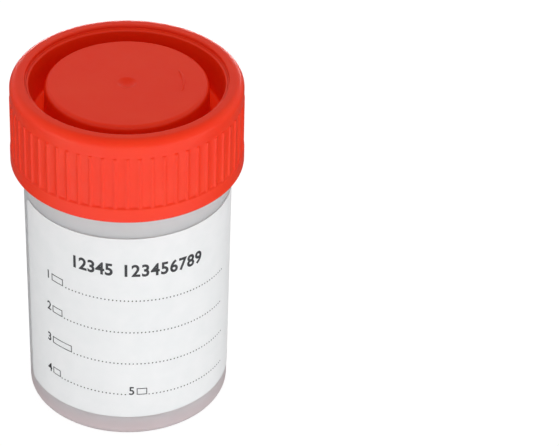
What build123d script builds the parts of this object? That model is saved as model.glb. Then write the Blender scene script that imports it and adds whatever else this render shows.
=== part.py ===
"""Straight-sided specimen container with a plug-seal screw cap and a writing label.

Millimetres, +Z up. The origin is the centre of the standing ring, on the surface
that the container stands on. The front of the label faces -Y.
"""
import os

from build123d import *

# ---- driving dimensions -------------------------------------------------
total_height = 70.0

# moulded jar
jar_height = 67.8
jar_foot_radius = 19.45  # outside, just above the rounded foot
jar_neck_radius = 19.85  # outside, from under the cap to the mouth
jar_taper_top = 52.0  # the wall tapers below this height and is straight above it
jar_wall = 0.95
neck_wall = 0.9
base_thickness = 1.1
foot_round = 1.7
inner_foot_chamfer = 1.4
mouth_chamfer = 0.3

# underside of the base
base_recess = 0.8
standing_ring_inner_radius = 16.3
standing_ring_slope = 0.35
gate_nub_radius = 1.1
gate_nub_height = 0.35

# neck thread: one coarse start with ramped ends
thread_pitch = 4.2
thread_turns = 1.5
thread_start_height = 58.2
thread_depth = 0.75
thread_root_width = 2.3
thread_crest_width = 1.0
thread_sink = 0.25  # how far the thread's root reaches into the neck
thread_ramp_angle = 14.0  # degrees of turn over which each end runs out

# moulded cap, outside
cap_bottom = 52.2
band_radius = 22.2  # plain band at the bottom
band_top = 55.3
band_chamfer = 0.5
rib_root_radius = 21.9
rib_zone_top = 66.3
rim_radius = 22.0  # plain zone at the top
rim_round = 1.6

# grip ribs
rib_count = 60
rib_height = 0.25
rib_root_width = 0.95
rib_crest_width = 0.45

# top of the cap, from the rim inwards
rim_inner_radius = 19.1
rim_inner_chamfer = 0.2
ledge_height = 69.1
ledge_inner_radius = 18.2
ledge_chamfer = 0.4
channel_outer_radius = 17.35  # at the top of the bottom's chamfers
channel_inner_radius = 15.75
channel_bottom = 61.6
channel_chamfer = 0.45
disc_radius = 15.35
disc_height = 69.0
disc_chamfer = 0.7
gate_dimple_radius = 1.75
gate_dimple_depth = 0.3

# inside of the cap
cap_bore_radius = 20.9  # clears the crest of the neck thread
cap_mouth_chamfer = 0.3
cap_ceiling = 67.9  # face over the jar's rim
ceiling_chamfer = 0.4
plug_seal_radius = 18.85  # sealing band, a running fit in the jar's mouth
plug_seal_bottom = 66.2
plug_wall = 0.95
disc_thickness = 1.2
disc_inner_chamfer = 0.6

# paper label, stuck to the wall
label_bottom = 4.8
label_top = 47.1
label_left_angle = -74.0  # degrees round from the front
label_right_angle = 92.0
label_thickness = 0.1
label_corner_round = 1.5

os.makedirs("parts", exist_ok=True)


def wall_radius(height):
    """Outside radius of the tapered wall at a height."""
    slope = (jar_neck_radius - jar_foot_radius) / (jar_taper_top - foot_round)
    return jar_foot_radius + slope * (height - foot_round)


def turned_point(radius, angle, height):
    """Point at a radius, an angle round the axis and a height."""
    return Vector(radius, 0, height).rotate(Axis.Z, angle)


# ---- container body: revolved shell ------------------------------------
mouth_bore_radius = jar_neck_radius - neck_wall
inner_foot_radius = jar_foot_radius - jar_wall
floor_height = base_recess + base_thickness
foot_ring_outer = (jar_foot_radius - foot_round, 0)
foot_end = (jar_foot_radius, foot_round)

with BuildPart() as container_body:
    with BuildSketch(Plane.XZ):
        with BuildLine():
            Polyline(
                (0, floor_height),
                (0, base_recess - gate_nub_height),
                (gate_nub_radius, base_recess - gate_nub_height),
                (gate_nub_radius, base_recess),
                (standing_ring_inner_radius, base_recess),
                (standing_ring_inner_radius + standing_ring_slope, 0),
                foot_ring_outer,
            )
            RadiusArc(foot_ring_outer, foot_end, -foot_round)
            Polyline(
                foot_end,
                (jar_neck_radius, jar_taper_top),
                (jar_neck_radius, jar_height),
                (mouth_bore_radius, jar_height),
                (mouth_bore_radius, jar_taper_top),
                (inner_foot_radius, floor_height),
                (0, floor_height),
            )
        make_face()
    revolve(axis=Axis.Z)

    circles = container_body.edges().filter_by(GeomType.CIRCLE)
    chamfer(circles.group_by(Axis.Z)[-1], mouth_chamfer)
    floor_edges = circles.filter_by_position(Axis.Z, floor_height - 0.01, floor_height + 0.01)
    chamfer(floor_edges.sort_by(SortBy.RADIUS)[-1], inner_foot_chamfer)

    # ---- container body: neck thread -----------------------------------
    with BuildLine(Plane.XY.offset(thread_start_height)) as thread_path:
        Helix(thread_pitch, thread_pitch * thread_turns, jar_neck_radius)
    start_plane = Plane(
        origin=thread_path.line @ 0,
        x_dir=(1, 0, 0),
        z_dir=thread_path.line % 0,
    )
    with BuildSketch(start_plane) as thread_section:
        with BuildLine():
            Polyline(
                (-thread_sink, -thread_root_width / 2),
                (thread_depth, -thread_crest_width / 2),
                (thread_depth, thread_crest_width / 2),
                (-thread_sink, thread_root_width / 2),
                close=True,
            )
        make_face()
    sweep(sections=thread_section.sketch, path=thread_path.line, is_frenet=True)


    # ---- container body: ramps at both ends of the thread ---------------
    crest_radius = jar_neck_radius + thread_depth
    end_angle = 360 * thread_turns
    end_height = thread_start_height + thread_pitch * thread_turns
    ramp_height = thread_root_width + 1.0
    thread_ends = (
        (0, thread_ramp_angle, thread_start_height, Align.MAX),
        (end_angle, end_angle - thread_ramp_angle, end_height, Align.MIN),
    )
    for foot_angle, top_angle, height, outer_side in thread_ends:
        ramp_foot = turned_point(jar_neck_radius, foot_angle, height)
        ramp_top = turned_point(crest_radius, top_angle, height)
        ramp_plane = Plane(origin=ramp_foot, x_dir=ramp_top - ramp_foot, z_dir=(0, 0, 1))
        ramp_length = (ramp_top - ramp_foot).length
        with Locations(ramp_plane):
            Box(
                ramp_length,
                2 * thread_depth,
                ramp_height,
                align=(Align.MIN, outer_side, Align.CENTER),
                mode=Mode.SUBTRACT,
            )

container_body.part.label = "container_body"
export_step(container_body.part, "parts/container_body.step")

# ---- screw cap: one revolved section ------------------------------------
channel_shoulder = channel_bottom + channel_chamfer
plug_bottom = channel_bottom - plug_wall
plug_shoulder = plug_bottom + channel_chamfer
plug_outer_radius = channel_outer_radius + plug_wall
plug_inner_radius = channel_inner_radius - plug_wall
disc_underside = disc_height - disc_thickness
disc_inner_radius = disc_radius - plug_wall
dimple_floor = disc_height - gate_dimple_depth
dimple_dish_radius = (gate_dimple_radius**2 + gate_dimple_depth**2) / (2 * gate_dimple_depth)

with BuildPart() as screw_cap:
    with BuildSketch(Plane.XZ):
        with BuildLine():
            # gate dimple, disc and ring channel
            RadiusArc((0, dimple_floor), (gate_dimple_radius, disc_height), -dimple_dish_radius)
            Polyline(
                (gate_dimple_radius, disc_height),
                (disc_radius - disc_chamfer, disc_height),
                (disc_radius, disc_height - disc_chamfer),
                (channel_inner_radius, channel_shoulder),
                (channel_inner_radius + channel_chamfer, channel_bottom),
                (channel_outer_radius - channel_chamfer, channel_bottom),
                (channel_outer_radius, channel_shoulder),
                (ledge_inner_radius, ledge_height),
                (rim_inner_radius, ledge_height),
                (rim_inner_radius, total_height),
                (rim_radius - rim_round, total_height),
            )
            RadiusArc(
                (rim_radius - rim_round, total_height),
                (rim_radius, total_height - rim_round),
                rim_round,
            )
            # skirt, mouth, bore, ceiling and plug seal, back to the axis
            Polyline(
                (rim_radius, total_height - rim_round),
                (rim_radius, rib_zone_top),
                (rib_root_radius, rib_zone_top),
                (rib_root_radius, band_top),
                (band_radius, band_top),
                (band_radius, cap_bottom + band_chamfer),
                (band_radius - band_chamfer, cap_bottom),
                (cap_bore_radius + cap_mouth_chamfer, cap_bottom),
                (cap_bore_radius, cap_bottom + cap_mouth_chamfer),
                (cap_bore_radius, cap_ceiling),
                (plug_seal_radius, cap_ceiling),
                (plug_seal_radius, plug_seal_bottom),
                (plug_outer_radius, plug_shoulder),
                (plug_outer_radius - channel_chamfer, plug_bottom),
                (plug_inner_radius + channel_chamfer, plug_bottom),
                (plug_inner_radius, plug_shoulder),
                (disc_inner_radius, disc_underside),
                (0, disc_underside),
                (0, dimple_floor),
            )
        make_face()
    revolve(axis=Axis.Z)

    rings = screw_cap.edges().filter_by(GeomType.CIRCLE)
    ledge_ring = rings.filter_by_position(Axis.Z, ledge_height - 0.01, ledge_height + 0.01)
    chamfer(ledge_ring.sort_by(SortBy.RADIUS)[0], ledge_chamfer)
    top_rings = rings.filter_by_position(Axis.Z, total_height - 0.01, total_height + 0.01)
    chamfer(top_rings.sort_by(SortBy.RADIUS)[0], rim_inner_chamfer)
    ceiling_rings = rings.filter_by_position(Axis.Z, cap_ceiling - 0.01, cap_ceiling + 0.01)
    chamfer(ceiling_rings.sort_by(SortBy.RADIUS)[-1], ceiling_chamfer)
    under_disc = rings.filter_by_position(Axis.Z, disc_underside - 0.01, disc_underside + 0.01)
    chamfer(under_disc, disc_inner_chamfer)

    # ---- screw cap: grip ribs ------------------------------------------
    with BuildSketch(Plane.XY.offset(band_top)):
        with PolarLocations(rib_root_radius, rib_count):
            Polygon(
                (-rib_height, -rib_root_width / 2),
                (rib_height, -rib_crest_width / 2),
                (rib_height, rib_crest_width / 2),
                (-rib_height, rib_root_width / 2),
                align=None,
            )
    extrude(amount=rib_zone_top - band_top)

screw_cap.part.label = "screw_cap"
export_step(screw_cap.part, "parts/screw_cap.step")

# ---- writing label: a strip of paper round the front --------------------
with BuildPart() as writing_label:
    with BuildSketch(Plane.XZ.rotated((0, 0, label_left_angle - 90))):
        with BuildLine():
            Polyline(
                (wall_radius(label_bottom), label_bottom),
                (wall_radius(label_bottom) + label_thickness, label_bottom),
                (wall_radius(label_top) + label_thickness, label_top),
                (wall_radius(label_top), label_top),
                close=True,
            )
        make_face()
    revolve(axis=Axis.Z, revolution_arc=label_right_angle - label_left_angle)
    corner_edges = writing_label.edges().filter_by(lambda e: e.length < 2 * label_thickness)
    fillet(corner_edges, label_corner_round)

writing_label.part.label = "writing_label"
export_step(writing_label.part, "parts/writing_label.step")
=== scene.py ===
"""Specimen container: a natural polypropylene jar, a red plug-seal cap and a paper writing label.

Each CAD node is replaced by a finer mesh of the same form, placed by the frame's own boxes.
Sizes here are millimetres and degrees; meshes are written in metres. Azimuths are measured
from the front, -Y, and grow to the right.
"""

import logging
import math
from collections.abc import Callable, Iterable, Sequence
from dataclasses import dataclass, field
from enum import Enum

import bmesh
import bpy
from mathutils import Matrix, Vector


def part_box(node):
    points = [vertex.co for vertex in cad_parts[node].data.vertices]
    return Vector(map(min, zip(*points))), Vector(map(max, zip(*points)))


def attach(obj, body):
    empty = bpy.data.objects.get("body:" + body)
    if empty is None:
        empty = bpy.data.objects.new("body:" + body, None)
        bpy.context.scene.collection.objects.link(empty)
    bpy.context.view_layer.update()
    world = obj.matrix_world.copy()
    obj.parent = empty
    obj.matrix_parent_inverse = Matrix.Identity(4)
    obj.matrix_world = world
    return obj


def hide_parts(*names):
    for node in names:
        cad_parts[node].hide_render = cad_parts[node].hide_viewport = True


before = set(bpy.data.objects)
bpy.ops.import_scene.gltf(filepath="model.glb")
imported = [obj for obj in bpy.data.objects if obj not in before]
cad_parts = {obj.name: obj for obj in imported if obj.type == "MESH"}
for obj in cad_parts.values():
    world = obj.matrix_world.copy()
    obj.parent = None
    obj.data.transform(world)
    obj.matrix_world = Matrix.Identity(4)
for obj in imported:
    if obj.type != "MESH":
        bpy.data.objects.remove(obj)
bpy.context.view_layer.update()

MM = 0.001  # metres in a millimetre
FULL_TURN = 2 * math.pi
WELD_DISTANCE = 0.0005  # millimetres, closes seams and poles
SHARP_ANGLE = math.radians(38)
THREAD_TIP = 0.02  # share of a thread's profile that is left at its very end
EDGE_STEPS = 3  # steps of a thread's rounded edge

Point = tuple[float, float]
Colour = tuple[float, float, float, float]
Socket = bpy.types.NodeSocket

log = logging.getLogger("specimen_container")


class Body(Enum):
    """The moving bodies of the part."""

    CONTAINER = "container"
    CAP = "cap"


class Slot(Enum):
    """The record's material slots."""

    JAR = "natural_polypropylene"
    CAP = "red_polyethylene"
    LABEL = "label_paper"


@dataclass(frozen=True)
class Extent:
    """Height range and reach of a CAD node, in millimetres."""

    bottom: float
    top: float
    radius: float

    @classmethod
    def of(cls, node: str) -> "Extent":
        """Reads the extent of a CAD node from the frame.

        Args:
            node: The CAD node's name.

        Returns:
            Its lowest and highest point and the smaller of its two half widths.
        """
        low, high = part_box(node)
        reach = min(high.x - low.x, high.y - low.y) / 2
        return cls(low.z / MM, high.z / MM, reach / MM)


# ---- node trees ------------------------------------------------------------


class NodeTree:
    """Short calls for making and joining the nodes of a tree."""

    def __init__(self, tree: bpy.types.NodeTree) -> None:
        """Wraps a tree to add nodes to."""
        self.tree = tree

    def node(self, kind: str, inputs: dict | None = None, **settings: object) -> bpy.types.Node:
        """Adds a node.

        Args:
            kind: The node's type.
            inputs: Values or sockets for its inputs, by name or number.
            **settings: Properties of the node.

        Returns:
            The new node.
        """
        made = self.tree.nodes.new(kind)
        for name, value in settings.items():
            setattr(made, name, value)
        for name, value in (inputs or {}).items():
            if isinstance(value, Socket):
                self.tree.links.new(value, made.inputs[name])
            else:
                made.inputs[name].default_value = value
        return made

    def out(self, kind: str, inputs: dict | None = None, **settings: object) -> Socket:
        """Adds a node and gives its first output."""
        return self.node(kind, inputs, **settings).outputs[0]

    def math(self, operation: str, first: object, second: object = 0.0) -> Socket:
        """Adds a Math node on two numbers or sockets and gives its result."""
        return self.out("ShaderNodeMath", {0: first, 1: second}, operation=operation)

    def fade(self, value: Socket, span: Point, ends: Point) -> Socket:
        """Number that moves smoothly between two ends while a value crosses a span."""
        inputs = {"Value": value, "From Min": span[0], "From Max": span[1], "To Min": ends[0], "To Max": ends[1]}
        return self.out("ShaderNodeMapRange", inputs, interpolation_type="SMOOTHSTEP")


class GeometryTree(NodeTree):
    """A Geometry Nodes tree with named inputs, baked into plain meshes."""

    def __init__(self, name: str, numbers: Sequence[str], counts: Sequence[str] = ()) -> None:
        """Makes a tree that has a geometry, a material and some sizes as its inputs.

        Args:
            name: The tree's name.
            numbers: Names of its sizes.
            counts: Names of its whole numbers.
        """
        super().__init__(bpy.data.node_groups.new(name, "GeometryNodeTree"))
        inputs = {"Geometry": "NodeSocketGeometry", "Material": "NodeSocketMaterial"}
        inputs.update({label: "NodeSocketFloat" for label in numbers})
        inputs.update({label: "NodeSocketInt" for label in counts})
        sockets = self.tree.interface
        self.identifiers: dict[str, str] = {}
        for label, kind in inputs.items():
            made = sockets.new_socket(label, in_out="INPUT", socket_type=kind)
            self.identifiers[label] = made.identifier
        sockets.new_socket("Geometry", in_out="OUTPUT", socket_type="NodeSocketGeometry")
        self.source = self.node("NodeGroupInput").outputs

    def repeated(self, places: Socket, turns: Socket) -> Socket:
        """Puts the tree's own mesh on points and makes the copies real.

        Args:
            places: The points.
            turns: Euler angles of each copy.

        Returns:
            The copies.
        """
        rotation = self.out("FunctionNodeEulerToRotation", {0: turns})
        parts = {"Points": places, "Instance": self.source["Geometry"], "Rotation": rotation}
        copies = self.out("GeometryNodeInstanceOnPoints", parts)
        return self.out("GeometryNodeRealizeInstances", {"Geometry": copies})

    def smooth(self, mesh: Socket) -> Socket:
        """Shades smooth, with edges sharp where the surface turns by more than SHARP_ANGLE.

        Args:
            mesh: The mesh to shade.

        Returns:
            The shaded mesh.
        """
        shade = "GeometryNodeSetShadeSmooth"
        faces = self.out(shade, {"Geometry": mesh, "Shade Smooth": True}, domain="FACE")
        angle = self.node("GeometryNodeInputMeshEdgeAngle").outputs["Unsigned Angle"]
        limit = {0: angle, 1: SHARP_ANGLE}
        gentle = self.out("FunctionNodeCompare", limit, data_type="FLOAT", operation="LESS_THAN")
        return self.out(shade, {"Geometry": faces, "Shade Smooth": gentle}, domain="EDGE")

    def finish(self, geometry: Socket) -> None:
        """Gives the geometry the material input and joins it to the output."""
        dressed = {"Geometry": geometry, "Material": self.source["Material"]}
        self.node("NodeGroupOutput", {"Geometry": self.out("GeometryNodeSetMaterial", dressed)})

    def bake(self, name: str, mesh: bpy.types.Mesh, values: dict[str, object]) -> bpy.types.Object:
        """Runs the tree on a mesh and keeps the result as a plain mesh.

        Args:
            name: The new object's name.
            mesh: The mesh that the tree starts from.
            values: A value for each named input.

        Returns:
            An object with no modifier, at the origin.
        """
        carrier = bpy.data.objects.new(name + "_carrier", mesh)
        bpy.context.scene.collection.objects.link(carrier)
        modifier = carrier.modifiers.new(self.tree.name, "NODES")
        modifier.node_group = self.tree
        for label, value in values.items():
            modifier[self.identifiers[label]] = value
        baked = plain_mesh(carrier)
        carrier.modifiers.remove(modifier)
        bpy.data.objects.remove(carrier)
        return new_object(name, baked)


def plain_mesh(holder: bpy.types.Object) -> bpy.types.Mesh:
    """Copies the evaluated mesh of a linked object."""
    graph = bpy.context.evaluated_depsgraph_get()
    return bpy.data.meshes.new_from_object(holder.evaluated_get(graph), depsgraph=graph)


def new_object(name: str, mesh: bpy.types.Mesh) -> bpy.types.Object:
    """Links a mesh into the scene as an object at the origin.

    Args:
        name: The object's name.
        mesh: Its mesh, in metres.

    Returns:
        The new object.
    """
    mesh.name = name
    made = bpy.data.objects.new(name, mesh)
    bpy.context.scene.collection.objects.link(made)
    return made


def mesh_from(name: str, points: Iterable[Sequence[float]], faces: Iterable[Sequence[int]]) -> bpy.types.Mesh:
    """Makes a mesh from points in millimetres.

    Args:
        name: The mesh's name.
        points: Corners, in millimetres.
        faces: Corner numbers of each face.

    Returns:
        The mesh, in metres.
    """
    mesh = bpy.data.meshes.new(name)
    mesh.from_pydata([Vector(point) * MM for point in points], [], list(faces))
    mesh.update()
    return mesh


def outward(mesh: bpy.types.Mesh) -> bpy.types.Mesh:
    """Turns every face of a closed mesh outwards.

    Args:
        mesh: The mesh, changed in place.

    Returns:
        The same mesh.
    """
    work = bmesh.new()
    work.from_mesh(mesh)
    bmesh.ops.recalc_face_normals(work, faces=work.faces)
    work.to_mesh(mesh)
    work.free()
    return mesh


def on_turn(radius: float, azimuth: float, height: float) -> Vector:
    """Point at a radius, an azimuth from the front and a height."""
    turn = math.radians(azimuth)
    return Vector((radius * math.sin(turn), -radius * math.cos(turn), height))


# ---- finishes --------------------------------------------------------------


class SurfaceTree(NodeTree):
    """A material's tree, with the noise and bump that the finishes share."""

    def __init__(self, name: str) -> None:
        """Makes a material with a Principled surface.

        Args:
            name: The material's name.
        """
        self.material = bpy.data.materials.new(name)
        self.material.use_nodes = True
        super().__init__(self.material.node_tree)
        self.tree.nodes.clear()
        self.surface = self.node("ShaderNodeBsdfPrincipled")
        self.output = self.node("ShaderNodeOutputMaterial", {"Surface": self.surface.outputs[0]})
        self.place = self.node("ShaderNodeTexCoord").outputs["Object"]

    def set(self, **values: object) -> None:
        """Sets constant values, or links sockets, on the surface.

        Args:
            **values: Socket names in lower case with underscores, and their values.
        """
        for name, value in values.items():
            socket = self.surface.inputs[name.replace("_", " ").title().replace("Ior", "IOR")]
            if isinstance(value, Socket):
                self.tree.links.new(value, socket)
            else:
                socket.default_value = value

    def noise(self, grain: float, detail: float = 2.0, stretch: Sequence[float] = (1, 1, 1)) -> Socket:
        """Noise on stretched Object coordinates, with features of a grain in millimetres."""
        placed = self.out("ShaderNodeMapping", {"Vector": self.place, "Scale": stretch})
        return self.out("ShaderNodeTexNoise", {"Vector": placed, "Scale": 1 / (grain * MM), "Detail": detail})

    def ranged(self, value: Socket, low: float, high: float) -> Socket:
        """Spreads a noise value from low to high."""
        inputs = {"Value": value, "From Min": 0.3, "From Max": 0.7, "To Min": low, "To Max": high}
        return self.out("ShaderNodeMapRange", inputs)

    def blend(self, factor: Socket, first: object, second: object) -> Socket:
        """Mixes two colours; the factor is the share of the second."""
        return self.node("ShaderNodeMix", {0: factor, 6: first, 7: second}, data_type="RGBA").outputs[2]

    def bump(self, height: Socket, depth: float, under: Socket | None = None) -> Socket:
        """Turns a height into a bent normal.

        Args:
            height: The height value, about 0 to 1.
            depth: Its full depth, in millimetres.
            under: The normal of a coarser bump that this one lies on.

        Returns:
            The normal.
        """
        inputs = {"Height": height, "Distance": depth * MM, "Strength": 1.0}
        if under is not None:
            inputs["Normal"] = under
        return self.out("ShaderNodeBump", inputs)


@dataclass(frozen=True)
class RedPolyethylene:
    """Opaque red moulding plastic with a soft satin sheen.

    Attributes:
        deep: Colour of the thicker, darker drifts.
        light: Colour of the paler drifts.
    """

    deep: Colour = (0.985, 0.030, 0.002, 1)
    light: Colour = (0.995, 0.039, 0.004, 1)

    def material(self) -> bpy.types.Material:
        """Builds the material.

        Returns:
            The material.
        """
        tree = SurfaceTree("red_polyethylene")
        drift = tree.ranged(tree.noise(grain=9.0, detail=3.0), 0.0, 1.0)
        skin = tree.bump(tree.noise(grain=0.35, detail=3.0), depth=0.006)
        tree.set(
            base_color=tree.blend(drift, self.deep, self.light),
            roughness=tree.ranged(tree.noise(grain=2.2, detail=4.0), 0.33, 0.41),
            normal=tree.bump(tree.noise(grain=6.0, detail=1.0), depth=0.03, under=skin),
            ior=1.5,
            specular_ior_level=0.5,
            subsurface_weight=0.15,
            subsurface_radius=(1.0, 0.12, 0.06),
            subsurface_scale=0.001,
        )
        return tree.material


@dataclass(frozen=True)
class NaturalPolypropylene:
    """Milky, translucent moulding plastic with faint draw lines, and painted shade at the foot.

    Attributes:
        milk: Colour of the clearer plastic.
        cloud: Colour of the cloudier drifts.
        foot: Painted shade round the foot, with a painted pink cast of light from the red cap.
        foot_shade_heights: Heights between which the painted shade at the foot fades, in millimetres.
    """

    milk: Colour = (0.935, 0.905, 0.90, 1)
    cloud: Colour = (0.96, 0.945, 0.94, 1)
    # Painted shade with a painted pink cast of light from the red cap, darkening the foot
    foot: Colour = (0.74, 0.625, 0.64, 1)
    foot_shade_heights: Point = (2.0, 9.0)

    def material(self) -> bpy.types.Material:
        """Builds the material.

        Returns:
            The material.
        """
        tree = SurfaceTree("natural_polypropylene")
        drift = tree.ranged(tree.noise(grain=5.0, detail=3.0), 0.0, 1.0)
        lines = tree.noise(grain=1.1, detail=2.0, stretch=(1, 1, 0.06))
        skin = tree.bump(tree.noise(grain=0.4, detail=2.0), depth=0.004)
        height = tree.node("ShaderNodeSeparateXYZ", {0: tree.place}).outputs["Z"]
        # Share of the painted shade and pink cast at the foot, fading out between the two heights
        share = tree.fade(height, (self.foot_shade_heights[0] * MM, self.foot_shade_heights[1] * MM), (1.0, 0.0))
        tree.set(
            base_color=tree.blend(share, tree.blend(drift, self.milk, self.cloud), self.foot),
            roughness=tree.ranged(tree.noise(grain=1.6, detail=3.0), 0.30, 0.42),
            normal=tree.bump(lines, depth=0.012, under=skin),
            ior=1.49,
            transmission_weight=0.1,
            subsurface_weight=1.0,
            subsurface_radius=(1.0, 0.95, 0.9),
            subsurface_scale=0.0035,
        )
        return tree.material


@dataclass(frozen=True)
class CoatedPaper:
    """White coated label paper with a fine fibre.

    Attributes:
        shade: Colour of the greyer mottle.
        white: Colour of the whiter mottle.
    """

    shade: Colour = (0.895, 0.912, 0.920, 1)
    white: Colour = (0.930, 0.940, 0.948, 1)

    def material(self) -> bpy.types.Material:
        """Builds the material.

        Returns:
            The material.
        """
        tree = SurfaceTree("label_paper")
        mottle = tree.ranged(tree.noise(grain=3.0, detail=5.0), 0.0, 1.0)
        fibre = tree.noise(grain=0.22, detail=4.0)
        tree.set(
            base_color=tree.blend(mottle, self.shade, self.white),
            roughness=tree.ranged(fibre, 0.50, 0.62),
            normal=tree.bump(fibre, depth=0.006),
            ior=1.45,
        )
        return tree.material


@dataclass(frozen=True)
class PrintingInk:
    """Black printing ink, a little uneven on the paper.

    Attributes:
        name: The material's name.
        full: Colour where the ink is dense.
        thin: Colour where it is thin.
    """

    name: str = "printing_ink"
    full: Colour = (0.012, 0.013, 0.016, 1)
    thin: Colour = (0.055, 0.056, 0.062, 1)

    def material(self) -> bpy.types.Material:
        """Builds the material.

        Returns:
            The material.
        """
        tree = SurfaceTree(self.name)
        density = tree.ranged(tree.noise(grain=0.5, detail=4.0), 0.0, 1.0)
        grain = tree.noise(grain=0.15, detail=3.0)
        tree.set(
            base_color=tree.blend(density, self.full, self.thin),
            roughness=tree.ranged(grain, 0.40, 0.55),
            normal=tree.bump(grain, depth=0.002),
        )
        return tree.material


@dataclass(frozen=True)
class DottedInk(PrintingInk):
    """Paler ink of the dotted lines."""

    name: str = "dotted_ink"
    full: Colour = (0.02, 0.02, 0.022, 1)
    thin: Colour = (0.05, 0.05, 0.055, 1)


# ---- turned sections -------------------------------------------------------


@dataclass(frozen=True)
class Corner:
    """A corner of a turned section.

    Attributes:
        radius: Distance from the axis.
        height: Height above the floor.
        rounding: Radius of the arc that rounds the corner.
    """

    radius: float
    height: float
    rounding: float = 0.0


@dataclass(frozen=True)
class Section:
    """A turned section: corners joined by straight lines, each with its own rounding.

    Attributes:
        corners: From the axis, out over the upper face, and back under to the axis.
        chord: Length that a step of an arc aims at.
        most_steps: Most steps of an arc.
        guard: Distance from an arc at which a flat face gets a row of its own.
    """

    corners: Sequence[Corner]
    chord: float = 0.2
    most_steps: int = 9
    guard: float = 0.12

    def points(self) -> list[Point]:
        """Works out the section's points.

        Returns:
            Radius and height of each point, in order.
        """
        found: list[Point] = []
        last = len(self.corners) - 1
        for number, corner in enumerate(self.corners):
            here = Vector((corner.radius, corner.height))
            if corner.rounding == 0 or number in (0, last):
                found.append(tuple(here))
                continue
            before = self.corners[number - 1]
            after = self.corners[number + 1]
            back = Vector((before.radius, before.height)) - here
            ahead = Vector((after.radius, after.height)) - here
            found.extend(self._rounded(here, back, ahead, corner.rounding))
        return found

    def _rounded(self, here: Vector, back: Vector, ahead: Vector, rounding: float) -> list[Point]:
        """Points of one rounded corner, with a guard point on each side.

        Args:
            here: The corner.
            back: From the corner to the one before.
            ahead: From the corner to the one after.
            rounding: Radius of the arc.

        Returns:
            Radius and height of each point, in order.
        """
        back_way = back.normalized()
        ahead_way = ahead.normalized()
        half_angle = back_way.angle(ahead_way) / 2
        reach = rounding / math.tan(half_angle)
        centre = here + (back_way + ahead_way).normalized() * (rounding / math.sin(half_angle))
        start = here + back_way * reach - centre
        turn = math.pi - 2 * half_angle
        if back_way.cross(ahead_way) > 0:
            turn = -turn
        steps = min(max(2, round(abs(turn) * rounding / self.chord)), self.most_steps)
        arc = [centre + start @ Matrix.Rotation(-turn * step / steps, 2) for step in range(steps + 1)]
        points = [tuple(point) for point in arc]
        if back.length > reach + 2 * self.guard:
            points.insert(0, tuple(here + back_way * (reach + self.guard)))
        if ahead.length > reach + 2 * self.guard:
            points.append(tuple(here + ahead_way * (reach + self.guard)))
        return points


class PolarArray(GeometryTree):
    """Repeats a sector round the axis and welds the copies into one closed shell."""

    def __init__(self) -> None:
        """Builds the tree: points, an instance turned on each, realized and welded."""
        super().__init__("polar_array", ("Weld",), ("Count",))
        count = self.source["Count"]
        index = self.out("GeometryNodeInputIndex")
        step = self.math("DIVIDE", FULL_TURN, count)
        turns = self.out("ShaderNodeCombineXYZ", {"Z": self.math("MULTIPLY", index, step)})
        copies = self.repeated(self.out("GeometryNodePoints", {"Count": count}), turns)
        welded = {"Geometry": copies, "Distance": self.source["Weld"]}
        self.finish(self.smooth(self.out("GeometryNodeMergeByDistance", welded)))

    def shell(
        self,
        name: str,
        points: Sequence[Point],
        azimuths: Sequence[float],
        material: bpy.types.Material,
        relief: Callable[[float, float, float], float] | None = None,
    ) -> bpy.types.Object:
        """Turns a section into a closed shell.

        Args:
            name: The new object's name.
            points: The section, starting on the axis at the upper face.
            azimuths: Columns of one sector, whose ends are one sector apart.
            material: The finish.
            relief: Extra radius at a radius, height and azimuth.

        Returns:
            The shell.
        """
        columns = len(azimuths)
        corners = []
        for radius, height in points:
            for azimuth in azimuths:
                extra = relief(radius, height, azimuth) if relief else 0.0
                corners.append(on_turn(radius + extra, azimuth, height))
        faces = []
        for row in range(len(points) - 1):
            for column in range(columns - 1):
                first = row * columns + column
                below = first + columns
                faces.append((first, below, below + 1, first + 1))
        sector = azimuths[-1] - azimuths[0]
        values = {"Count": round(360 / sector), "Weld": WELD_DISTANCE * MM, "Material": material}
        return self.bake(name, mesh_from(name + "_sector", corners, faces), values)


@dataclass(frozen=True)
class Thread:
    """A screw thread or bead on a round wall.

    Attributes:
        radius: Radius of the wall.
        height: Height of its start.
        depth: How far it stands out of the wall.
        turns: Its length in turns.
        pitch: Its rise in one turn.
        start: Angle of its start from +X.
        facing: 1 where it stands outwards, -1 where it stands inwards.
        sink: How far its root reaches into the wall.
        root: Width of its root.
        crest: Width of its crest.
        rounding: Radius of its edges.
        run_out: Share of its length over which each end runs out.
        segment: Degrees of one step.
    """

    radius: float
    height: float
    depth: float
    turns: float
    pitch: float = 4.2
    start: float = 0.0
    facing: float = 1.0
    sink: float = 0.25
    root: float = 2.3
    crest: float = 1.0
    rounding: float = 0.2
    run_out: float = 0.03
    segment: float = 4.0

    def values(self) -> dict[str, float]:
        """Values for the inputs of a ThreadBead.

        Returns:
            A value for each of the tree's sizes, with lengths in metres.
        """
        lengths = {
            "Radius": self.radius,
            "Start height": self.height,
            "Pitch": self.pitch,
            "Depth": self.depth + self.sink,
            "Root width": self.root,
            "Crest width": self.crest,
            "Sink": (self.depth - self.sink) / 2,
            "Rounding": self.rounding,
        }
        values = {label: length * MM for label, length in lengths.items()}
        values["Start angle"] = math.radians(self.start)
        values.update({"Turns": self.turns, "Facing": self.facing})
        values.update({"Run-out": self.run_out, "Segment": self.segment})
        return values


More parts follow.
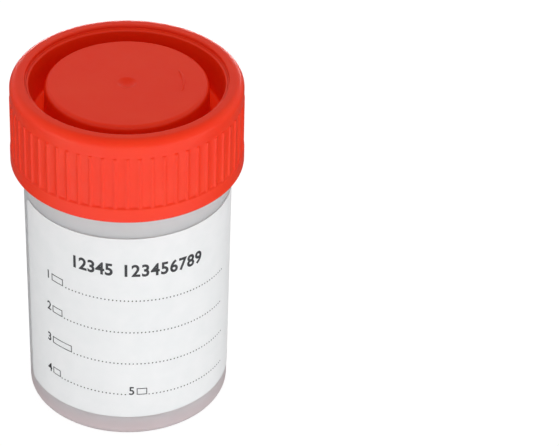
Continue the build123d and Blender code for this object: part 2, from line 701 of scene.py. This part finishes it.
class ThreadBead(GeometryTree):
    """Sweeps a thread: a trapezoid along a helix that runs out at both ends."""

    def __init__(self) -> None:
        """Builds the tree: helix, run-out, trapezoid with rounded edges, sweep."""
        lengths = ("Radius", "Start height", "Pitch", "Depth", "Root width", "Crest width", "Sink", "Rounding")
        super().__init__("thread_bead", lengths + ("Start angle", "Turns", "Facing", "Run-out", "Segment"))
        factor = self.out("GeometryNodeSplineParameter")
        profile = self.profile()
        sweep = {"Curve": self.helix(factor), "Profile Curve": profile, "Scale": self.swell(factor)}
        swept = self.out("GeometryNodeCurveToMesh", {**sweep, "Fill Caps": True})
        self.finish(self.smooth(self.out("GeometryNodeRealizeInstances", {"Geometry": swept})))

    def helix(self, factor: Socket) -> Socket:
        """Bends a line into the helix, with level normals.

        Args:
            factor: Share of the way along it.

        Returns:
            The curve.
        """
        source = self.source
        count = self.math("DIVIDE", self.math("MULTIPLY", source["Turns"], 360), source["Segment"])
        line = {"Curve": self.out("GeometryNodeCurvePrimitiveLine"), "Count": self.math("ROUND", count)}
        spaced = self.out("GeometryNodeResampleCurve", line)
        turned = self.math("MULTIPLY", factor, source["Turns"])
        angle = self.math("ADD", self.math("MULTIPLY", turned, FULL_TURN), source["Start angle"])
        across = self.math("MULTIPLY", self.math("COSINE", angle), source["Radius"])
        back = self.math("MULTIPLY", self.math("SINE", angle), source["Radius"])
        rise = self.math("ADD", self.math("MULTIPLY", turned, source["Pitch"]), source["Start height"])
        place = self.out("ShaderNodeCombineXYZ", {"X": across, "Y": back, "Z": rise})
        bent = self.out("GeometryNodeSetPosition", {"Geometry": spaced, "Position": place})
        return self.out("GeometryNodeSetCurveNormal", {"Curve": bent}, mode="Z_UP")

    def swell(self, factor: Socket) -> Socket:
        """Scale of the profile: whole, but running out towards both ends.

        Args:
            factor: Share of the way along the helix.

        Returns:
            The scale.
        """
        from_end = self.math("MINIMUM", factor, self.math("SUBTRACT", 1.0, factor))
        run_out = self.math("DIVIDE", from_end, self.source["Run-out"])
        swell = self.math("SQRT", self.math("MINIMUM", run_out, 1.0))
        return self.math("MAXIMUM", swell, THREAD_TIP)

    def profile(self) -> Socket:
        """Lays the rounded trapezoid with its crest outwards or inwards.

        Returns:
            The curve.
        """
        facing = self.source["Facing"]
        widths = {"Bottom Width": self.source["Root width"], "Top Width": self.source["Crest width"]}
        sizes = {"Offset": 0.0, "Height": self.source["Depth"], **widths}
        shape = self.out("GeometryNodeCurvePrimitiveQuadrilateral", sizes, mode="TRAPEZOID")
        shift = self.out("ShaderNodeCombineXYZ", {"X": self.math("MULTIPLY", self.source["Sink"], facing)})
        turn = self.out("ShaderNodeCombineXYZ", {"Z": self.math("MULTIPLY", facing, -math.pi / 2)})
        moved = {"Geometry": shape, "Translation": shift, "Rotation": turn}
        edges = {"Curve": self.out("GeometryNodeTransform", moved), "Radius": self.source["Rounding"]}
        return self.out("GeometryNodeFilletCurve", {**edges, "Count": EDGE_STEPS}, mode="POLY")

    def sweep(self, name: str, thread: Thread, material: bpy.types.Material) -> bpy.types.Object:
        """Makes a thread of that name, size and finish."""
        start = bpy.data.meshes.new(name + "_start")
        return self.bake(name, start, {**thread.values(), "Material": material})


class WallPattern(GeometryTree):
    """Repeats a printed mark along a line round a tapered wall, level or leaning."""

    def __init__(self) -> None:
        """Builds the tree: points on the wall, a mark turned outwards on each, realized."""
        numbers = ("Start", "Step", "Height", "Lean", "Radius", "Taper")
        super().__init__("wall_pattern", numbers, ("Count",))
        source = self.source
        walked = self.math("MULTIPLY", self.out("GeometryNodeInputIndex"), source["Step"])
        azimuth = self.math("ADD", walked, source["Start"])
        height = self.math("ADD", source["Height"], self.math("MULTIPLY", azimuth, source["Lean"]))
        radius = self.math("ADD", source["Radius"], self.math("MULTIPLY", height, source["Taper"]))
        across = self.math("MULTIPLY", self.math("SINE", azimuth), radius)
        towards_front = self.math("MULTIPLY", self.math("COSINE", azimuth), radius)
        back = self.math("MULTIPLY", towards_front, -1.0)
        place = self.out("ShaderNodeCombineXYZ", {"X": across, "Y": back, "Z": height})
        tilt = self.math("ARCTANGENT", self.math("DIVIDE", source["Lean"], radius))
        turns = self.out("ShaderNodeCombineXYZ", {"Y": self.math("MULTIPLY", tilt, -1.0), "Z": azimuth})
        places = self.out("GeometryNodePoints", {"Count": source["Count"], "Position": place})
        self.finish(self.repeated(places, turns))


# ---- the container's sub-assemblies ----------------------------------------


@dataclass
class Jar:
    """The moulded jar: tapered wall, recessed base, straight neck and coarse thread."""

    finish: bpy.types.Material
    foot_radius: float = 19.45
    neck_radius: float = 19.85
    taper_top: float = 52.0
    bend_rounding: float = 6.0
    wall: float = 0.95
    neck_wall: float = 0.9
    floor_height: float = 1.9
    foot_rounding: float = 1.7
    inner_foot_rounding: float = 2.0
    mouth_rounding: float = 0.4
    base_recess: float = 0.8
    ring_radius: float = 16.3
    ring_slope: float = 0.35
    ring_rounding: float = 0.2
    nub_radius: float = 1.1
    nub_height: float = 0.35
    nub_foot_rounding: float = 0.1
    nub_rounding: float = 0.15
    column_step: float = 2.0
    thread_turns: float = 1.5
    thread_height: float = 58.2
    extent: Extent = field(default_factory=lambda: Extent.of("container_body"))

    @property
    def taper(self) -> float:
        """Growth of the wall's radius for each millimetre of height."""
        return (self.neck_radius - self.foot_radius) / (self.taper_top - self.foot_rounding)

    def wall_radius(self, height: float) -> float:
        """Outside radius of the tapered wall at a height."""
        return self.foot_radius + self.taper * (height - self.foot_rounding)

    def section(self) -> Section:
        """Lays out the jar's section.

        Returns:
            The section, from the middle of the floor over the mouth to the underside.
        """
        mouth = self.extent.top
        bore = self.neck_radius - self.neck_wall
        base_radius = self.foot_radius - self.taper * self.foot_rounding
        nub_face = self.base_recess - self.nub_height
        return Section(
            (
                Corner(0, self.floor_height),
                Corner(self.foot_radius - self.wall, self.floor_height, self.inner_foot_rounding),
                Corner(bore, self.taper_top, self.bend_rounding),
                Corner(bore, mouth, self.mouth_rounding),
                Corner(self.neck_radius, mouth, self.mouth_rounding),
                Corner(self.neck_radius, self.taper_top, self.bend_rounding),
                Corner(base_radius, 0, self.foot_rounding),
                Corner(self.ring_radius + self.ring_slope, 0, self.ring_rounding),
                Corner(self.ring_radius, self.base_recess, self.ring_rounding),
                Corner(self.nub_radius, self.base_recess, self.nub_foot_rounding),
                Corner(self.nub_radius, nub_face, self.nub_rounding),
                Corner(0, nub_face),
            )
        )

    def build(self, polar: PolarArray, bead: ThreadBead) -> list[bpy.types.Object]:
        """Builds the shell and its thread.

        Args:
            polar: The tree that turns a section.
            bead: The tree that sweeps a thread.

        Returns:
            The jar's pieces.
        """
        columns = (-self.column_step, 0, self.column_step)
        shell = polar.shell("jar_shell", self.section().points(), columns, self.finish)
        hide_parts("container_body")
        depth = self.extent.radius - self.neck_radius
        thread = Thread(self.neck_radius, self.thread_height, depth, self.thread_turns)
        return [shell, bead.sweep("jar_thread", thread, self.finish)]


@dataclass
class ScrewCap:
    """The moulded cap: disc, ring channel, ledge, rounded rim, grip ribs and plug seal."""

    finish: bpy.types.Material
    disc_radius: float = 15.35
    disc_drop: float = 1.0
    disc_rounding: float = 0.9
    disc_thickness: float = 1.2
    dimple_radius: float = 1.75
    dimple_depth: float = 0.55
    dimple_lip: float = 0.25
    dimple_steps: int = 5
    channel_inner_radius: float = 15.75
    channel_outer_radius: float = 17.95
    channel_floor: float = 62.0
    channel_rounding: float = 0.5
    ledge_radius: float = 18.45
    ledge_drop: float = 0.72
    ledge_rounding: float = 0.35
    ledge_foot_rounding: float = 0.15
    rim_inner_radius: float = 19.1
    rim_inner_rounding: float = 0.3
    rim_radius: float = 22.0
    rim_rounding: float = 1.6
    rim_slope: float = 0.4  # height over which the skirt narrows from the rim to the ribs' roots
    rib_top: float = 66.3
    rib_end_rows: Sequence[float] = (0.04, 0.1, 0.18, 0.28, 0.4, 0.5)
    rib_columns: Sequence[float] = (0.3, 0.62, 0.95, 1.3)
    band_top: float = 55.3
    band_slope: float = 0.35
    band_rounding: float = 0.3
    foot_row: float = 0.9  # lowest row of the ribs, above the band
    foot_rounding: float = 0.6
    rib_root_radius: float = 21.9
    rib_slack: float = 0.01
    rib_height: float = 0.2
    rib_half_width: float = 0.475
    rib_crest_half_width: float = 0.14
    rib_count: int = 60
    bore_radius: float = 20.9
    mouth_chamfer: float = 0.3
    mouth_rounding: float = 0.1
    ceiling: float = 67.9
    ceiling_rounding: float = 0.5
    plug_radius: float = 18.85
    plug_bottom: float = 66.2
    plug_root_rounding: float = 0.3
    plug_rounding: float = 0.4
    plug_floor_rounding: float = 1.2
    disc_inner_rounding: float = 0.8
    wall: float = 0.95
    plug_wall: float = 0.7
    thread_turns: float = 1.25
    thread_height: float = 56.1
    thread_depth: float = 0.8
    witness_radius: float = 10.6
    extent: Extent = field(default_factory=lambda: Extent.of("screw_cap"))

    def rib_relief(self, radius: float, height: float, azimuth: float) -> float:
        """Extra radius of the skirt where a grip rib runs.

        Args:
            radius: Radius of the plain skirt.
            height: Height above the floor.
            azimuth: Degrees from the rib's middle.

        Returns:
            The rib's height there.
        """
        on_skirt = radius > self.rib_root_radius - self.rib_slack
        if not (on_skirt and self.band_top < height < self.rib_top + self.rib_slack):
            return 0.0
        across = abs(math.radians(azimuth)) * self.rib_root_radius
        slope = (across - self.rib_crest_half_width) / (self.rib_half_width - self.rib_crest_half_width)
        swell = (1 + math.cos(math.pi * min(max(slope, 0.0), 1.0))) / 2
        from_top = min(max(self.rib_top - height, 0.0), self.rib_half_width) / self.rib_half_width
        end = math.sqrt(max(0.0, 1 - (1 - from_top) ** 2))
        return max(0.0, self.rib_root_radius + self.rib_height - radius) * swell * end

    def section(self) -> Section:
        """Lays out the cap's section.

        Returns:
            The section, from the middle of the disc over the rim to the disc's underside.
        """
        top = self.extent.top
        bottom = self.extent.bottom
        band = self.extent.radius
        disc = top - self.disc_drop
        ledge = top - self.ledge_drop
        plug_floor = self.channel_floor - self.wall
        steps = [step / self.dimple_steps for step in range(self.dimple_steps)]
        dish = [Corner(self.dimple_radius * step, disc - self.dimple_depth * (1 - step**2)) for step in steps]
        upper = [
            Corner(self.dimple_radius, disc),
            Corner(self.dimple_radius + self.dimple_lip, disc),
            Corner(self.disc_radius, disc, self.disc_rounding),
            Corner(self.channel_inner_radius, self.channel_floor, self.channel_rounding),
            Corner(self.channel_outer_radius, self.channel_floor, self.channel_rounding),
            Corner(self.ledge_radius, ledge, self.ledge_rounding),
            Corner(self.rim_inner_radius, ledge, self.ledge_foot_rounding),
            Corner(self.rim_inner_radius, top, self.rim_inner_rounding),
            Corner(self.rim_radius, top, self.rim_rounding),
            Corner(self.rim_radius, self.rib_top + self.rim_slope),
            Corner(self.rib_root_radius, self.rib_top),
        ]
        rib_ends = [Corner(self.rib_root_radius, self.rib_top - drop) for drop in self.rib_end_rows]
        lower = [
            Corner(self.rib_root_radius, self.band_top + self.foot_row),
            Corner(self.rib_root_radius, self.band_top + self.band_slope),
            Corner(band, self.band_top, self.band_rounding),
            Corner(band, bottom, self.foot_rounding),
            Corner(self.bore_radius + self.mouth_chamfer, bottom, self.mouth_rounding),
            Corner(self.bore_radius, bottom + self.mouth_chamfer),
            Corner(self.bore_radius, self.ceiling, self.ceiling_rounding),
            Corner(self.plug_radius, self.ceiling, self.plug_root_rounding),
            Corner(self.plug_radius, self.plug_bottom, self.plug_rounding),
            Corner(self.channel_outer_radius + self.plug_wall, plug_floor, self.plug_floor_rounding),
            Corner(self.channel_inner_radius - self.wall, plug_floor, self.plug_floor_rounding),
            Corner(self.disc_radius - self.wall, disc - self.disc_thickness, self.disc_inner_rounding),
            Corner(0, disc - self.disc_thickness),
        ]
        return Section(dish + upper + rib_ends + lower)

    def build(self, polar: PolarArray, bead: ThreadBead) -> list[bpy.types.Object]:
        """Builds the cap, the thread inside it and the witness line on its disc.

        Args:
            polar: The tree that turns a section.
            bead: The tree that sweeps a thread.

        Returns:
            The cap's pieces.
        """
        right = [*self.rib_columns, 180 / self.rib_count]
        azimuths = [-step for step in reversed(right)] + [0.0] + right
        shell = polar.shell("cap_shell", self.section().points(), azimuths, self.finish, self.rib_relief)
        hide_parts("screw_cap")
        depth, turns = self.thread_depth, self.thread_turns
        thread = Thread(self.bore_radius, self.thread_height, depth, turns, facing=-1.0)
        witness = Thread(
            self.witness_radius,
            self.extent.top - self.disc_drop,
            depth=0.25,
            turns=0.12,
            pitch=0.0,
            start=-18.0,
            root=0.5,
            crest=0.36,
            rounding=0.03,
            run_out=0.3,
            segment=2.0,
        )
        beads = {"cap_thread": thread, "cap_witness_line": witness}
        return [shell] + [bead.sweep(name, size, self.finish) for name, size in beads.items()]


@dataclass(frozen=True)
class PrintedNumber:
    """Plain printed digits.

    Attributes:
        size: Type size.
        bold: How much each stroke is thickened on each side.
        narrow: Width against the plain type.
        proud: How far the ink stands off the paper, and reaches into it.
        steps: Steps of a curved stroke.
    """

    size: float
    bold: float
    narrow: float = 0.9
    proud: float = 0.03
    steps: int = 4

    def flat_mesh(self, digit: str) -> bpy.types.Mesh:
        """Models one digit.

        Args:
            digit: The digit.

        Returns:
            A flat solid with its foot at the origin, in millimetres, facing +Z.
        """
        letter = bpy.data.curves.new("digit", "FONT")
        letter.body = digit
        letter.size = self.size
        letter.offset = self.bold
        letter.extrude = self.proud
        letter.resolution_u = self.steps
        holder = bpy.data.objects.new("digit", letter)
        bpy.context.scene.collection.objects.link(holder)
        mesh = plain_mesh(holder)
        bpy.data.objects.remove(holder)
        bpy.data.curves.remove(letter)
        mesh.transform(Matrix.Diagonal((self.narrow, 1.0, 1.0, 1.0)))
        return mesh


@dataclass
class WritingLabel:
    """The paper label: a strip with rounded corners, and its printed lines and marks."""

    paper: bpy.types.Material
    ink: bpy.types.Material
    grey_ink: bpy.types.Material
    jar: Jar
    left: float = -73.5
    right: float = 91.5
    thickness: float = 0.1
    gap: float = 0.02
    corner: float = 1.5
    corner_steps: int = 6
    column_step: float = 1.5
    rows: int = 16
    lean: float = -0.012  # drop of a printed line for each degree to the right
    dot_radius: float = 0.15
    dot_proud: float = 0.016
    dot_sides: int = 8
    dot_spacing: float = 0.74
    box_shift: float = 4.6  # degrees from a field's number to its box
    box_height: float = 1.55
    box_stroke: float = 0.16
    box_proud: float = 0.03
    box_step: float = 0.6
    heading_height: float = 38.6
    extent: Extent = field(default_factory=lambda: Extent.of("writing_label"))

    def surface(self, azimuth: float, height: float, lift: float) -> Vector:
        """Point over the jar's wall, a lift out of it."""
        return on_turn(self.jar.wall_radius(height) + lift, azimuth, height)

    def build(self, pattern: WallPattern) -> list[bpy.types.Object]:
        """Builds the strip and its print.

        Args:
            pattern: The tree that repeats a mark.

        Returns:
            The label's pieces.
        """
        pieces = [self.strip()]
        dot = self.dot_mark()
        lines = (
            ("dots_first", -36.5, 66.0, 32.8),
            ("dots_second", -38.0, 65.0, 25.3),
            ("dots_third", -32.0, 66.0, 17.8),
            ("dots_fourth", -41.0, -1.0, 10.3),
            ("dots_fifth", 11.6, 66.5, 10.3),
        )
        for name, left, right, height in lines:
            pieces.append(pattern.bake(name, dot, self.line_values(left, right, height)))
        fields = (
            ("1", -51.5, -38.5, 32.8),
            ("2", -51.5, -39.5, 25.3),
            ("3", -52.0, -33.5, 17.8),
            ("4", -52.4, -42.0, 10.3),
            ("5", -0.1, 10.4, 10.3),
        )
        small = PrintedNumber(size=2.7, bold=0.03)
        for digit, left, right, height in fields:
            pieces.append(self.numerals(f"field_number_{digit}", digit, left, left, height, small))
            start = left + self.box_shift
            width = math.radians(right - start) * self.jar.wall_radius(height)
            pieces.append(self.printed(f"field_box_{digit}", [(self.box_mark(width), start)], height))
        large = PrintedNumber(size=3.75, bold=0.1)
        headings = (("heading_first", "12345", -32.8, -12.9), ("heading_second", "123456789", -3.6, 39.4))
        for name, digits, left, right in headings:
            pieces.append(self.numerals(name, digits, left, right, self.heading_height, large))
        return pieces

    def strip(self) -> bpy.types.Object:
        """Builds the paper strip.

        Returns:
            The strip, a closed sheet wrapped on the wall.
        """
        degrees = math.degrees(1 / self.jar.wall_radius((self.extent.bottom + self.extent.top) / 2))
        turns = [math.radians(90 * step / self.corner_steps) for step in range(self.corner_steps)]
        ends = [self.corner * (1 - math.cos(turn)) * degrees for turn in turns]
        start = self.left + self.corner * degrees
        span = self.right - self.corner * degrees - start
        plain = round(span / self.column_step)
        azimuths = [self.left + end for end in ends]
        azimuths += [start + span * step / plain for step in range(plain + 1)]
        azimuths += [self.right - end for end in reversed(ends)]
        points = []
        for lift in (self.gap, self.thickness):
            for azimuth in azimuths:
                inset = min(azimuth - self.left, self.right - azimuth) / degrees
                short = max(0.0, self.corner - inset)
                cut = self.corner - math.sqrt(max(0.0, self.corner**2 - short**2))
                low = self.extent.bottom + cut
                rise = (self.extent.top - cut - low) / self.rows
                points += [self.surface(azimuth, low + rise * row, lift) for row in range(self.rows + 1)]
        stride = self.rows + 1
        over = stride * len(azimuths)
        last = over - stride
        faces = []
        for column in range(0, last, stride):
            for first in range(column, column + self.rows):
                quad = (first, first + stride, first + stride + 1, first + 1)
                faces += [tuple(corner + over for corner in quad), quad[::-1]]
        border = [*range(0, last, stride), *range(last, over - 1)]
        border += [*range(over - 1, stride, -stride), *range(stride - 1, 0, -1)]
        for here, there in zip(border, border[1:] + border[:1]):
            faces.append((here, there, there + over, here + over))
        mesh = mesh_from("label_strip", points, faces)
        mesh.materials.append(self.paper)
        mesh.shade_smooth()
        mesh.set_sharp_from_angle(angle=SHARP_ANGLE)
        strip = new_object("label_strip", mesh)
        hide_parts("writing_label")
        return strip

    def line_values(self, left: float, right: float, height: float) -> dict[str, object]:
        """Values that lay a dotted line with a WallPattern.

        Args:
            left: Azimuth of the first dot.
            right: Azimuth that the last dot doesn't pass.
            height: Height of the line at the front.

        Returns:
            A value for each named input.
        """
        step = self.dot_spacing / self.jar.wall_radius(height)
        return {
            "Count": int((right - left) / math.degrees(step)) + 1,
            "Start": math.radians(left),
            "Step": step,
            "Height": height * MM,
            "Lean": math.degrees(self.lean) * MM,
            "Radius": (self.jar.wall_radius(0) + self.thickness) * MM,
            "Taper": self.jar.taper,
            "Material": self.grey_ink,
        }

    def numerals(self, name: str, digits: str, left: float, right: float, height: float,
                 style: PrintedNumber) -> bpy.types.Object:
        """Prints plain numbers round the wall.

        Args:
            name: The new object's name.
            digits: The numbers, one in each place.
            left: Azimuth of the first digit's left edge.
            right: Azimuth of the last digit's left edge.
            height: Height of their foot at the front.
            style: Their size and weight.

        Returns:
            The printed numbers, wrapped on the paper.
        """
        step = (right - left) / max(1, len(digits) - 1)
        flats = [(style.flat_mesh(digit), left + step * place) for place, digit in enumerate(digits)]
        return self.printed(name, flats, height)

    def printed(self, name: str, flats: Iterable[tuple[bpy.types.Mesh, float]], height: float) -> bpy.types.Object:
        """Wraps flat marks on the paper and inks them.

        Args:
            name: The new object's name.
            flats: Flat marks in millimetres that face +Z, and the azimuth that each starts at.
            height: Height of their foot at the front.

        Returns:
            The printed marks, joined.
        """
        corners: list[Vector] = []
        faces: list[tuple[int, ...]] = []
        degrees = math.degrees(1 / self.jar.wall_radius(height))
        for flat, start in flats:
            first = len(corners)
            for vertex in flat.vertices:
                azimuth = start + vertex.co.x * degrees
                level = height + vertex.co.y + self.lean * azimuth
                corners.append(self.surface(azimuth, level, self.thickness + vertex.co.z))
            faces += [tuple(first + corner for corner in polygon.vertices) for polygon in flat.polygons]
            bpy.data.meshes.remove(flat)
        mesh = outward(mesh_from(name, corners, faces))
        mesh.materials.append(self.ink)
        return new_object(name, mesh)

    def dot_mark(self) -> bpy.types.Mesh:
        """Models one printed dot.

        Returns:
            The dot, at the origin, facing the front.
        """
        sides = self.dot_sides
        points = []
        for depth in (self.dot_proud, -self.dot_proud):
            for side in range(sides):
                turn = FULL_TURN * side / sides
                points.append((self.dot_radius * math.cos(turn), depth, self.dot_radius * math.sin(turn)))
        faces = [tuple(range(sides)), tuple(range(2 * sides - 1, sides - 1, -1))]
        for side in range(sides):
            after = (side + 1) % sides
            faces.append((after, side, side + sides, after + sides))
        return outward(mesh_from("dot_mark", points, faces))

    def box_mark(self, width: float) -> bpy.types.Mesh:
        """Models one open printed box.

        Args:
            width: Outside width.

        Returns:
            A flat solid with its lower left corner at the origin, in millimetres, facing +Z.
        """
        steps = max(2, round(width / self.box_step))
        shares = [step / steps for step in range(steps)]
        loop = [(share, 0.0) for share in shares] + [(1.0, 0.0)]
        loop += [(1 - share, 1.0) for share in shares] + [(0.0, 1.0)]
        points = []
        for depth in (-self.box_proud, self.box_proud):
            for inset in (0.0, self.box_stroke):
                wide = width - 2 * inset
                tall = self.box_height - 2 * inset
                points += [(inset + across * wide, inset + up * tall, depth) for across, up in loop]
        count = len(loop)
        faces = []
        for first, second in ((0, 1), (1, 3), (3, 2), (2, 0)):
            here, there = first * count, second * count
            for side in range(count):
                after = (side + 1) % count
                faces.append((here + side, here + after, there + after, there + side))
        mesh = bpy.data.meshes.new("box_mark")
        mesh.from_pydata(points, [], faces)
        return mesh


# ---- studio ----------------------------------------------------------------


@dataclass(frozen=True)
class Softbox:
    """A long, low lamp that faces the container.

    Attributes:
        name: The lamp's name.
        azimuth: Degrees from the front, to the right.
        elevation: Degrees above the floor.
        distance: Distance from the container.
        width: Its length across.
        depth: Its height.
        power: Its power in watts.
        mirrored: Whether glossy surfaces show it.
    """

    name: str
    azimuth: float
    elevation: float
    distance: float
    width: float
    depth: float
    power: float
    mirrored: bool = True

    def build(self, aim: Vector) -> None:
        """Places the lamp.

        Args:
            aim: The point that it faces, in metres.
        """
        lamp = bpy.data.lights.new(self.name, "AREA")
        lamp.shape = "RECTANGLE"
        lamp.size = self.width * MM
        lamp.size_y = self.depth * MM
        lamp.energy = self.power
        lift = math.radians(self.elevation)
        way = on_turn(math.cos(lift), self.azimuth, math.sin(lift))
        holder = bpy.data.objects.new(self.name, lamp)
        holder.location = aim + way * self.distance * MM
        holder.rotation_euler = way.to_track_quat("Z", "Y").to_euler()
        holder.visible_glossy = self.mirrored
        bpy.context.scene.collection.objects.link(holder)


@dataclass(frozen=True)
class Studio:
    """Camera, floor, world and lamps.

    Attributes:
        eye_back: Distance of the lens in front of the axis.
        eye_height: Height of the lens above the floor.
        pitch: Degrees that the camera looks down.
        yaw: Degrees that it looks to the right.
        roll: Degrees that it leans.
        lens: Focal length for a film of that width, both in millimetres.
        film: Width of the film.
        aim_height: Height that the lamps face.
        floor_size: Length of the floor's sides.
        floor_greys: Colours of the floor's mottle.
        floor_share: Share of plain white in the floor where it is seen.
        floor_white: Strength of that white to the camera.
        floor_painted_sheen: Its strength in reflections, well in front of the container: a painted reflection, as
            the floor glows this bright only in glossy rays.
        floor_gloss: Its strength in reflections, from the axis back.
        painted_sheen_span: Y at which the painted reflection starts to fade into the dimmer one, and at which it
            ends.
        glow: Strength of the world that lights, at the horizon and high up.
        glow_span: Rise over which it fades.
        gloss: Strength of the world in reflections, low and high up.
        gloss_span: Rise over which it fades.
        softboxes: The lamps.
    """

    eye_back: float = 472.581
    eye_height: float = 366.311
    pitch: float = 34.836
    yaw: float = 3.552
    roll: float = 1.719
    lens: float = 191.85
    film: float = 36.0
    aim_height: float = 35.0
    floor_size: float = 3000.0
    floor_greys: Sequence[Colour] = ((0.84, 0.84, 0.84, 1), (0.88, 0.88, 0.88, 1))
    floor_share: float = 0.84
    floor_white: float = 1.12
    floor_painted_sheen: float = 1.6
    floor_gloss: float = 0.03
    painted_sheen_span: Point = (-90.0, 0.0)
    glow: Point = (0.54, 0.36)
    glow_span: Point = (0.0, 0.9)
    gloss: Point = (0.41, 0.12)
    gloss_span: Point = (0.5, 0.85)
    softboxes: Sequence[Softbox] = (
        Softbox("top_softbox", 0.0, 90.0, 600.0, 120.0, 120.0, 0.9, False),
        Softbox("front_softbox", 3.0, 0.0, 700.0, 600.0, 68.0, 1.28, False),
        Softbox("left_softbox", -62.0, 0.0, 700.0, 500.0, 68.0, 0.9, False),
        Softbox("right_softbox", 66.0, 0.0, 700.0, 500.0, 68.0, 1.35, False),
        Softbox("back_softbox", 176.0, 0.0, 700.0, 600.0, 60.0, 1.3),
    )

    def build(self) -> None:
        """Builds the whole studio."""
        self.camera()
        self.world()
        self.floor()
        for softbox in self.softboxes:
            softbox.build(Vector((0, 0, self.aim_height)) * MM)
        bpy.context.scene.view_settings.view_transform = "Standard"

    def camera(self) -> None:
        """Places the camera."""
        data = bpy.data.cameras.new("camera")
        data.lens = self.lens
        data.sensor_width = self.film
        data.sensor_fit = "HORIZONTAL"
        data.clip_start = 0.01
        data.clip_end = 20.0
        place = Matrix.Translation(Vector((0, -self.eye_back, self.eye_height)) * MM)
        for angle, axis in ((-self.yaw, "Z"), (90 - self.pitch, "X"), (self.roll, "Z")):
            place = place @ Matrix.Rotation(math.radians(angle), 4, axis)
        holder = bpy.data.objects.new("camera", data)
        holder.matrix_world = place
        bpy.context.scene.collection.objects.link(holder)
        bpy.context.scene.camera = holder

    def world(self) -> None:
        """Lights the object softly and shows white to the camera and through plastic."""
        world = bpy.data.worlds.new("studio")
        world.use_nodes = True
        tree = NodeTree(world.node_tree)
        tree.tree.nodes.clear()
        path = tree.node("ShaderNodeLightPath").outputs
        seen = tree.math("MAXIMUM", path["Is Camera Ray"], path["Is Transmission Ray"])
        way = tree.node("ShaderNodeTexCoord").outputs["Generated"]
        rise = tree.node("ShaderNodeSeparateXYZ", {0: way}).outputs["Z"]
        glow = tree.fade(rise, self.glow_span, self.glow)
        gloss = tree.fade(rise, self.gloss_span, self.gloss)
        mirrored = tree.out("ShaderNodeMix", {0: path["Is Glossy Ray"], 2: glow, 3: gloss})
        strength = tree.out("ShaderNodeMix", {0: seen, 2: mirrored, 3: 1.0})
        sky = tree.out("ShaderNodeBackground", {"Color": (1, 1, 1, 1), "Strength": strength})
        tree.node("ShaderNodeOutputWorld", {"Surface": sky})
        bpy.context.scene.world = world

    def floor(self) -> None:
        """Lays the pale floor, near white to the camera but for the object's shadow, and glowing in reflections as
        a painted sheen in front of the container.
        """
        half = self.floor_size / 2
        points = ((-half, -half, 0), (half, -half, 0), (half, half, 0), (-half, half, 0))
        mesh = mesh_from("studio_floor", points, ((0, 1, 2, 3),))
        tree = SurfaceTree("pale_floor")
        mottle = tree.ranged(tree.noise(grain=60.0, detail=2.0), 0.0, 1.0)
        tree.set(
            base_color=tree.blend(mottle, *self.floor_greys),
            roughness=0.7,
        )
        path = tree.node("ShaderNodeLightPath").outputs
        seen = tree.math("MAXIMUM", path["Is Camera Ray"], path["Is Transmission Ray"])
        seen = tree.math("MAXIMUM", seen, path["Is Glossy Ray"])
        back = tree.node("ShaderNodeSeparateXYZ", {0: tree.place}).outputs["Y"]
        front, axis = self.painted_sheen_span
        # Painted reflection: in glossy rays the floor glows bright well in front of the container and dims from
        # the axis back
        painted_sheen = tree.fade(back, (front * MM, axis * MM), (self.floor_painted_sheen, self.floor_gloss))
        strength = tree.out("ShaderNodeMix", {0: path["Is Glossy Ray"], 2: self.floor_white, 3: painted_sheen})
        white = tree.out("ShaderNodeEmission", {"Strength": strength})
        share = tree.math("MULTIPLY", seen, self.floor_share)
        mixed = tree.out("ShaderNodeMixShader", {0: share, 1: tree.surface.outputs[0], 2: white})
        tree.tree.links.new(mixed, tree.output.inputs["Surface"])
        mesh.materials.append(tree.material)
        new_object("studio_floor", mesh)


# ---- making ----------------------------------------------------------------


def settle(pieces: Iterable[bpy.types.Object], body: Body) -> None:
    """Hangs finished pieces on a body and reports them.

    Args:
        pieces: The finished pieces.
        body: The body that carries them.
    """
    for piece in pieces:
        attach(piece, body.value)
        log.info("%s: %d faces on %s", piece.name, len(piece.data.polygons), body.value)


def main() -> None:
    """Builds the studio and the container, piece by piece."""
    logging.basicConfig(level=logging.INFO, format="%(name)s %(message)s")
    Studio().build()
    polar = PolarArray()
    bead = ThreadBead()
    pattern = WallPattern()
    jar = Jar(NaturalPolypropylene().material())
    cap = ScrewCap(RedPolyethylene().material())
    label = WritingLabel(CoatedPaper().material(), PrintingInk().material(), DottedInk().material(), jar)
    settle(jar.build(polar, bead), Body.CONTAINER)
    settle(cap.build(polar, bead), Body.CAP)
    settle(label.build(pattern), Body.CONTAINER)


if __name__ == "__main__":
    main()
